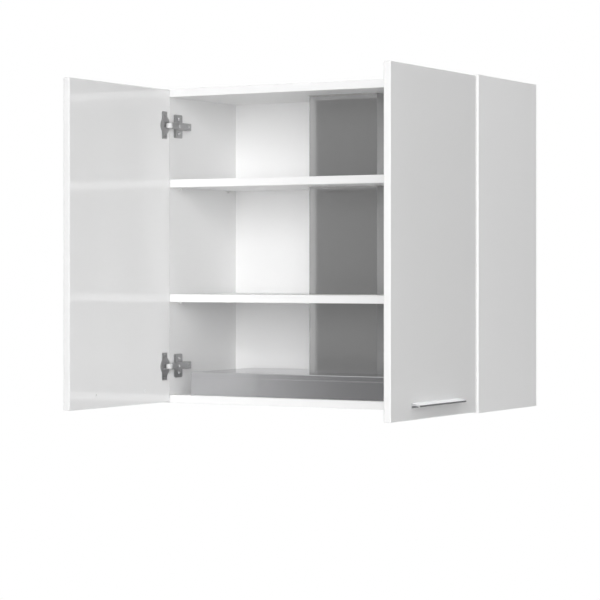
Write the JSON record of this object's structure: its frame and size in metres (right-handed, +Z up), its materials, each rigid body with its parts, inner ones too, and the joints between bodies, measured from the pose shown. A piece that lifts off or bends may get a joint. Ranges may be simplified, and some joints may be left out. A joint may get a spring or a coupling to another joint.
{
  "type": "range hood cabinet",
  "caption": "Wall cabinet with shelves and paired doors round a built-in extractor hood: steel canopy slab, chimney duct, blower, filters and round outlet; doors stored open.",
  "frame": {"origin": "in the wall plane, midway between the centres of the two hanging keyholes", "axes": "+X to the right as seen from the front, along the cabinet's width; +Y out of the back towards the wall; +Z up"},
  "size_m": [0.831, 0.7005, 0.72],
  "materials": {
    "carcass_laminate": "satin white melamine",
    "door_laminate": "high-gloss white",
    "back_laminate": "satin white",
    "dowel_wood": "plain beech",
    "fitting_zinc": "satin zinc",
    "screw_steel": "bright zinc plate",
    "hinge_steel": "nickel plate",
    "handle_aluminium": "satin anodised",
    "hood_steel": "brushed stainless",
    "duct_steel": "brushed stainless",
    "galvanised_sheet": "galvanised",
    "motor_shell": "satin grey",
    "wheel_plastic": "matt grey",
    "flap_plastic": "matt dark grey",
    "filter_aluminium": "satin",
    "lens_glass": "frosted",
    "button_plastic": "satin grey",
    "board_green": "solder mask",
    "gland_plastic": "matt black"
  },
  "bodies": {
    "cabinet": {"side_panel_left": "carcass_laminate", "side_panel_right": "carcass_laminate", "top_panel": "carcass_laminate", "bottom_panel": "carcass_laminate", "back_panel": "back_laminate", "shelf_lower": "carcass_laminate", "shelf_upper": "carcass_laminate", "shelf_pins": "screw_steel", "dowels": "dowel_wood", "cam_locks": "fitting_zinc", "cam_bolts": "screw_steel", "hanging_plate_left": "fitting_zinc", "hanging_plate_right": "fitting_zinc", "hanging_screws": "screw_steel", "hinge_arms_left": "hinge_steel", "hinge_arms_right": "hinge_steel", "mounting_plates_left": "hinge_steel", "mounting_plates_right": "hinge_steel", "plate_screws": "screw_steel", "arm_screws": "screw_steel", "hood_body": "hood_steel", "hood_fascia": "hood_steel", "hood_cover": "hood_steel", "casing_screws": "screw_steel", "chimney_duct": "duct_steel", "blower_scroll": "galvanised_sheet", "blower_lid": "galvanised_sheet", "motor": "motor_shell", "flue_pipe": "galvanised_sheet", "outlet_collar": "galvanised_sheet", "damper_axles": "screw_steel", "lamp_rings": "hood_steel", "lamp_lenses": "lens_glass", "control_board": "board_green", "cable_gland": "gland_plastic"},
    "door_left": {"door_left": "door_laminate", "hinge_cups_left": "hinge_steel", "hinge_pins_left": "screw_steel", "cup_screws_left": "screw_steel", "handle_left": "handle_aluminium", "handle_screws_left": "screw_steel"},
    "filter_left": {"filter_frame_left": "filter_aluminium", "filter_mesh_left": "filter_aluminium"},
    "door_right": {"door_right": "door_laminate", "hinge_cups_right": "hinge_steel", "hinge_pins_right": "screw_steel", "cup_screws_right": "screw_steel", "handle_right": "handle_aluminium", "handle_screws_right": "screw_steel"},
    "filter_right": {"filter_frame_right": "filter_aluminium", "filter_mesh_right": "filter_aluminium"},
    "fan_wheel": {"impeller": "wheel_plastic", "motor_shaft": "screw_steel"},
    "button_light": {"button_light": "button_plastic"},
    "button_speed_1": {"button_speed_1": "button_plastic"},
    "button_speed_2": {"button_speed_2": "button_plastic"},
    "button_speed_3": {"button_speed_3": "button_plastic"},
    "damper_front": {"damper_flap_front": "flap_plastic"},
    "damper_rear": {"damper_flap_rear": "flap_plastic"}
  },
  "joints": [
    {"name": "door_left_hinge", "type": "hinge", "parent": "cabinet", "child": "door_left", "pos_m": [-0.3881, -0.3144, -0.315], "axis": [0, 0, 1], "range_deg": [-5, 90]},
    {"name": "door_right_hinge", "type": "hinge", "parent": "cabinet", "child": "door_right", "pos_m": [0.3881, -0.3144, -0.315], "axis": [0, 0, 1], "range_deg": [-90, 5]},
    {"name": "filter_left_hinge", "type": "hinge", "parent": "cabinet", "child": "filter_left", "pos_m": [-0.155, -0.053, -0.669], "axis": [1, 0, 0], "range_deg": [0, 70]},
    {"name": "filter_right_hinge", "type": "hinge", "parent": "cabinet", "child": "filter_right", "pos_m": [0.155, -0.053, -0.669], "axis": [1, 0, 0], "range_deg": [0, 70]},
    {"name": "fan_spin", "type": "hinge", "parent": "cabinet", "child": "fan_wheel", "pos_m": [0, -0.10104, -0.53254], "axis": [1, 0, 0], "continuous": true},
    {"name": "button_light_push", "type": "slide", "parent": "cabinet", "child": "button_light", "axis": [0, 0, 1], "range_m": [0, 0.0015], "stiffness_N_per_m": 200, "springref_m": -0.001},
    {"name": "button_speed_1_push", "type": "slide", "parent": "cabinet", "child": "button_speed_1", "axis": [0, 0, 1], "range_m": [0, 0.0015], "stiffness_N_per_m": 200, "springref_m": -0.001},
    {"name": "button_speed_2_push", "type": "slide", "parent": "cabinet", "child": "button_speed_2", "axis": [0, 0, 1], "range_m": [0, 0.0015], "stiffness_N_per_m": 200, "springref_m": -0.001},
    {"name": "button_speed_3_push", "type": "slide", "parent": "cabinet", "child": "button_speed_3", "axis": [0, 0, 1], "range_m": [0, 0.0015], "stiffness_N_per_m": 200, "springref_m": -0.001},
    {"name": "damper_front_hinge", "type": "hinge", "parent": "cabinet", "child": "damper_front", "pos_m": [0, -0.0982, -0.017], "axis": [-1, 0, 0], "range_deg": [0, 80]},
    {"name": "damper_rear_hinge", "type": "hinge", "parent": "cabinet", "child": "damper_rear", "pos_m": [0, -0.0928, -0.017], "axis": [1, 0, 0], "range_deg": [0, 80]}
  ]
}
